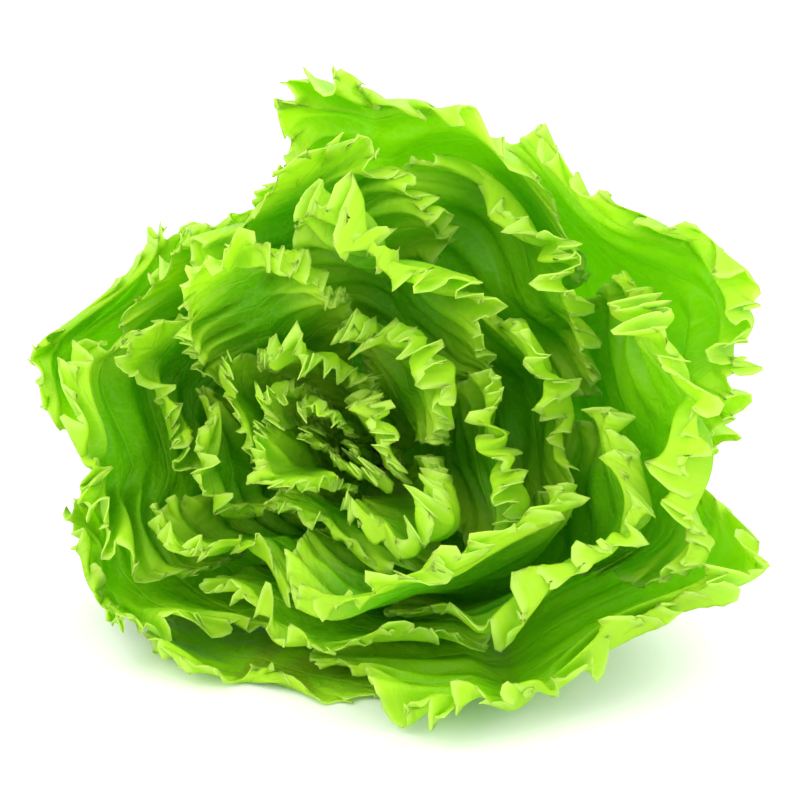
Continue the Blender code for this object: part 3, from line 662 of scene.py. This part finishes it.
SIDE_VEIN = 0.055                  # half across a side vein, of the way to the next one
NET_MESH = 0.0032                  # across the meshes of the finest veins
NET_VEIN = 0.10                    # half across one of these, of a mesh
VEIN_SHARE = 0.14                  # of the pale colour in side veins and net
RIB_PALE = (0.0008, 0.0045)        # out from the midrib's middle, where its paleness starts to fade and ends
RIB_PALE_REACH = (0.015, 0.070)    # the same along it, from the root
EDGE_PALE = (0.0003, 0.0026)       # the same in from the edge
EDGE_SHARE = 0.80                  # of the pale colour at the very edge
MARGIN_PALE = (0.003, 0.034)       # in from the edge, where the margin's colour starts to fade and ends


def leaf_material(name, shaded_hollow, deep, green, margin, pale):
    """Lettuce blade, grown and rinsed: thin and full of sap, so light shines through it. The eye reads it by
    its yellow-green frills, pale veins, soft gloss and bulges between the veins. The deep green of the inner
    leaves is painted shade, for the hollow of the head."""
    made, tree, output = new_material(name)
    flat_at = add_node(tree, "ShaderNodeAttribute", attribute_name="flat_at").outputs["Vector"]
    vein_at = add_node(tree, "ShaderNodeAttribute", attribute_name="vein_at").outputs["Vector"]
    parts = add_node(tree, "ShaderNodeSeparateXYZ", [("Vector", vein_at)])
    flat_parts = add_node(tree, "ShaderNodeSeparateXYZ", [("Vector", flat_at)])
    clouds = add_node(tree, "ShaderNodeTexNoise", [("Vector", flat_at)], in_Scale=1 / CLOUD, in_Detail=3.0)
    quilt = add_node(tree, "ShaderNodeTexNoise", [("Vector", flat_at)], in_Scale=1 / BLISTER, in_Detail=2.0,
                     in_Roughness=0.55, in_Distortion=0.4)
    net = add_node(tree, "ShaderNodeTexVoronoi", [("Vector", flat_at)], feature="DISTANCE_TO_EDGE",
                   in_Scale=1 / NET_MESH)
    net_line = add_node(tree, "ShaderNodeMapRange", [("Value", net.outputs["Distance"])],
                        in_1=0.0, in_2=NET_VEIN, in_3=1.0, in_4=0.0)
    side_at = add_node(tree, "ShaderNodeMath", [(0, parts.outputs["X"])], operation="FRACT")
    side_off = add_node(tree, "ShaderNodeMath", [(0, side_at.outputs[0])], operation="SUBTRACT", in_1=0.5)
    side_far = add_node(tree, "ShaderNodeMath", [(0, side_off.outputs[0])], operation="ABSOLUTE")
    side_line = add_node(tree, "ShaderNodeMapRange", [("Value", side_far.outputs[0])],
                         interpolation_type="SMOOTHSTEP", in_1=0.0, in_2=SIDE_VEIN, in_3=1.0, in_4=0.0)
    rib_off = add_node(tree, "ShaderNodeMath", [(0, flat_parts.outputs["X"])], operation="ABSOLUTE")
    rib_line = add_node(tree, "ShaderNodeMapRange", [("Value", rib_off.outputs[0])],
                        interpolation_type="SMOOTHSTEP",
                        in_1=RIB_PALE[0], in_2=RIB_PALE[1], in_3=1.0, in_4=0.0)
    edge_line = add_node(tree, "ShaderNodeMapRange", [("Value", parts.outputs["Z"])],
                         interpolation_type="SMOOTHSTEP",
                         in_1=EDGE_PALE[0], in_2=EDGE_PALE[1], in_3=1.0, in_4=0.0)
    outward = add_node(tree, "ShaderNodeMapRange", [("Value", parts.outputs["Z"])],
                       interpolation_type="SMOOTHSTEP",
                       in_1=MARGIN_PALE[0], in_2=MARGIN_PALE[1], in_3=1.0, in_4=0.0)
    # Painted shade: the inner leaves, by their order, go over into the darker green of the shaded hollow.
    painted_shade = add_node(tree, "ShaderNodeMapRange", [("Value", flat_parts.outputs["Z"])],
                      in_1=SHADE_ORDERS[0] * PLACE_STEP, in_2=SHADE_ORDERS[1] * PLACE_STEP)
    cloudy = add_node(tree, "ShaderNodeMix", [("Factor", clouds.outputs[0])], data_type="RGBA",
                      in_6=linear(deep), in_7=linear(green))
    inner = add_node(tree, "ShaderNodeMix", [("Factor", painted_shade.outputs[0]), (6, cloudy.outputs[2])],
                     data_type="RGBA", in_7=linear(shaded_hollow))
    blade = add_node(tree, "ShaderNodeMix", [("Factor", outward.outputs[0]), (6, inner.outputs[2])],
                     data_type="RGBA", in_7=linear(margin))
    veins = add_node(tree, "ShaderNodeMath", [(0, side_line.outputs[0]), (1, net_line.outputs[0])],
                     operation="MAXIMUM")
    rib_fade = add_node(tree, "ShaderNodeMapRange", [("Value", flat_parts.outputs["Y"])],
                        in_1=RIB_PALE_REACH[0], in_2=RIB_PALE_REACH[1], in_3=1.0, in_4=0.0)
    rib_share = add_node(tree, "ShaderNodeMath", [(0, rib_line.outputs[0]), (1, rib_fade.outputs[0])],
                         operation="MULTIPLY")
    vein_share = add_node(tree, "ShaderNodeMath", [(0, veins.outputs[0])], operation="MULTIPLY",
                          in_1=VEIN_SHARE)
    lined = add_node(tree, "ShaderNodeMath", [(0, vein_share.outputs[0]), (1, rib_share.outputs[0])],
                     operation="MAXIMUM")
    edged = add_node(tree, "ShaderNodeMath", [(0, edge_line.outputs[0])], operation="MULTIPLY",
                     in_1=EDGE_SHARE)
    pale_share = add_node(tree, "ShaderNodeMath", [(0, lined.outputs[0]), (1, edged.outputs[0])],
                          operation="MAXIMUM")
    colour = add_node(tree, "ShaderNodeMix", [("Factor", pale_share.outputs[0]), (6, blade.outputs[2])],
                      data_type="RGBA", in_7=linear(pale))
    relief = add_node(tree, "ShaderNodeMath", [(0, side_line.outputs[0])], operation="MULTIPLY",
                      in_1=-VEIN_GROOVE)
    raised = add_node(tree, "ShaderNodeMath", [(0, relief.outputs[0]), (1, quilt.outputs[0])],
                      operation="ADD")
    bump = add_node(tree, "ShaderNodeBump", [("Height", raised.outputs[0])], in_Strength=0.8,
                    in_Distance=BLISTER_HEIGHT)
    wet = add_node(tree, "ShaderNodeMapRange", [("Value", quilt.outputs[0])],
                   in_3=LEAF_ROUGHNESS[0], in_4=LEAF_ROUGHNESS[1])
    skin = add_node(tree, "ShaderNodeBsdfPrincipled",
                    [("Base Color", colour.outputs[2]), ("Normal", bump.outputs[0]),
                     ("Roughness", wet.outputs[0])], in_IOR=LEAF_IOR, in_Specular_IOR_Level=LEAF_MIRROR)
    # The light through the blade takes the same painted shade on the inner leaves.
    through_deep = add_node(tree, "ShaderNodeMix", [("Factor", outward.outputs[0]), (6, inner.outputs[2])],
                            data_type="RGBA", in_7=linear(LEAF_LIGHT_THROUGH))
    through = add_node(tree, "ShaderNodeMix",
                       [("Factor", pale_share.outputs[0]), (6, through_deep.outputs[2])],
                       data_type="RGBA", in_7=linear(pale))
    light = add_node(tree, "ShaderNodeBsdfTranslucent",
                     [("Color", through.outputs[2]), ("Normal", bump.outputs[0])])
    both = add_node(tree, "ShaderNodeMixShader", [(1, skin.outputs[0]), (2, light.outputs[0])],
                    in_0=LIGHT_THROUGH)
    tree.links.new(both.outputs[0], output.inputs["Surface"])
    return made


leaf_look = leaf_material("lettuce_leaf_fresh", LEAF_SHADED_HOLLOW, LEAF_DEEP, LEAF_GREEN, LEAF_MARGIN, LEAF_PALE)
for leaf in leaves[:LEAF_COUNT]:
    leaf_points, leaf_quads, leaf_attributes = leaf_solid(leaf, LEAF_ROWS)
    number = f"{leaf.order + 1:02d}"
    new_piece(f"blade_{number}", leaf_points, leaf_quads, leaf_look, f"leaf_{number}",
              leaf_attributes)

# Heart: the youngest leaves, curled round the growing tip. They are small and tender, more yellow than the
# large ones, and frilled as tightly, on a core that goes on from the stem. Their blades are coloured all over
# with a deep green as painted shade, for the heart's hollow.
HEART_ROWS = 14
CORE_TIP = 0.006                   # past the lowest roots' span, up to the growing tip's point
CORE_SHOULDER = 0.7                # of the tip's radius and of its length, where it rounds off
CORE_SIDES = 48
CORE_PLACE = 0.5                   # in metres, so far off that no midrib or edge colours the core
# The core's own deep tone, clouded with the next green, and the painted shade over all the heart leaves.
HEART_DEEP_AND_SHADE = "#7CCC08"
HEART_GREEN = "#AEE410"
HEART_MARGIN = "#D6F442"

core_outline = [(0, HEART_BASE), (stem_radius(HEART_BASE), HEART_BASE), (STEM_TIP_RADIUS, ROOT_SPAN),
                (STEM_TIP_RADIUS * CORE_SHOULDER, ROOT_SPAN + CORE_TIP * CORE_SHOULDER),
                (0, ROOT_SPAN + CORE_TIP)]
core_points, core_quads = turned(core_outline, CORE_SIDES)
core_at = np.full_like(core_points, CORE_PLACE)
heart_parts = [(core_points, core_quads, {"flat_at": core_at, "vein_at": core_at})]
heart_parts += [leaf_solid(leaf, HEART_ROWS) for leaf in leaves[LEAF_COUNT:]]
heart_starts = np.cumsum([0] + [len(part[0]) for part in heart_parts[:-1]])
new_piece("heart_leaves", np.vstack([part[0] for part in heart_parts]),
          np.vstack([part[1] + start for part, start in zip(heart_parts, heart_starts)]),
          leaf_material("lettuce_leaf_young", HEART_DEEP_AND_SHADE, HEART_DEEP_AND_SHADE, HEART_GREEN, HEART_MARGIN, LEAF_PALE),
          "heart",
          {key: np.vstack([part[2][key] for part in heart_parts]) for key in ("flat_at", "vein_at")})

# Studio: a plain pale floor that runs out of sight, broad soft lights on a white surround, and a camera that
# looks at the crown from a little above it.
FLOOR_SIZE = 8.0
FLOOR_COLOUR = "#F4F4F2"
FLOOR_ROUGHNESS = 0.9
SURROUND_STRENGTH = 1.36
# A light is (name, place, size, watts).
LIGHTS = (("key", (-0.75, -0.75, 1.25), 1.0, 9.5), ("fill", (0.95, -0.85, 0.70), 1.1, 6.0),
          ("back", (0.25, 0.95, 0.90), 0.9, 7.0))
CAMERA_LENS = 100.0
CAMERA_RISE = math.radians(22)
CAMERA_AWAY = 0.968
LOOK_AT = Vector((0.0085, 0.0, 0.1070))

floor_mesh = bpy.data.meshes.new("floor")
floor_corners = [(x * FLOOR_SIZE / 2, y * FLOOR_SIZE / 2, 0) for x, y in ((-1, -1), (1, -1), (1, 1), (-1, 1))]
floor_mesh.from_pydata(floor_corners, [], [(0, 1, 2, 3)])
floor = bpy.data.objects.new("floor", floor_mesh)
bpy.context.scene.collection.objects.link(floor)
floor_look, floor_tree, floor_output = new_material("paper_backdrop_matt")
floor_shader = add_node(floor_tree, "ShaderNodeBsdfPrincipled", in_Base_Color=linear(FLOOR_COLOUR),
                        in_Roughness=FLOOR_ROUGHNESS)
floor_tree.links.new(floor_shader.outputs[0], floor_output.inputs["Surface"])
floor_mesh.materials.append(floor_look)

surround = bpy.data.worlds.new("white_surround")
surround.use_nodes = True
surround.node_tree.nodes["Background"].inputs["Color"].default_value = (1, 1, 1, 1)
surround.node_tree.nodes["Background"].inputs["Strength"].default_value = SURROUND_STRENGTH
bpy.context.scene.world = surround

for light_name, light_at, light_size, light_power in LIGHTS:
    light_data = bpy.data.lights.new(light_name, "AREA")
    light_data.size = light_size
    light_data.energy = light_power
    light = bpy.data.objects.new(light_name, light_data)
    light.location = light_at
    light.rotation_euler = (LOOK_AT - Vector(light_at)).to_track_quat("-Z", "Y").to_euler()
    bpy.context.scene.collection.objects.link(light)

camera_data = bpy.data.cameras.new("camera")
camera_data.lens = CAMERA_LENS
camera = bpy.data.objects.new("camera", camera_data)
camera.location = LOOK_AT + Vector((0, -math.cos(CAMERA_RISE), math.sin(CAMERA_RISE))) * CAMERA_AWAY
camera.rotation_euler = (LOOK_AT - camera.location).to_track_quat("-Z", "Y").to_euler()
bpy.context.scene.collection.objects.link(camera)
bpy.context.scene.camera = camera
bpy.context.scene.view_settings.view_transform = "Standard"
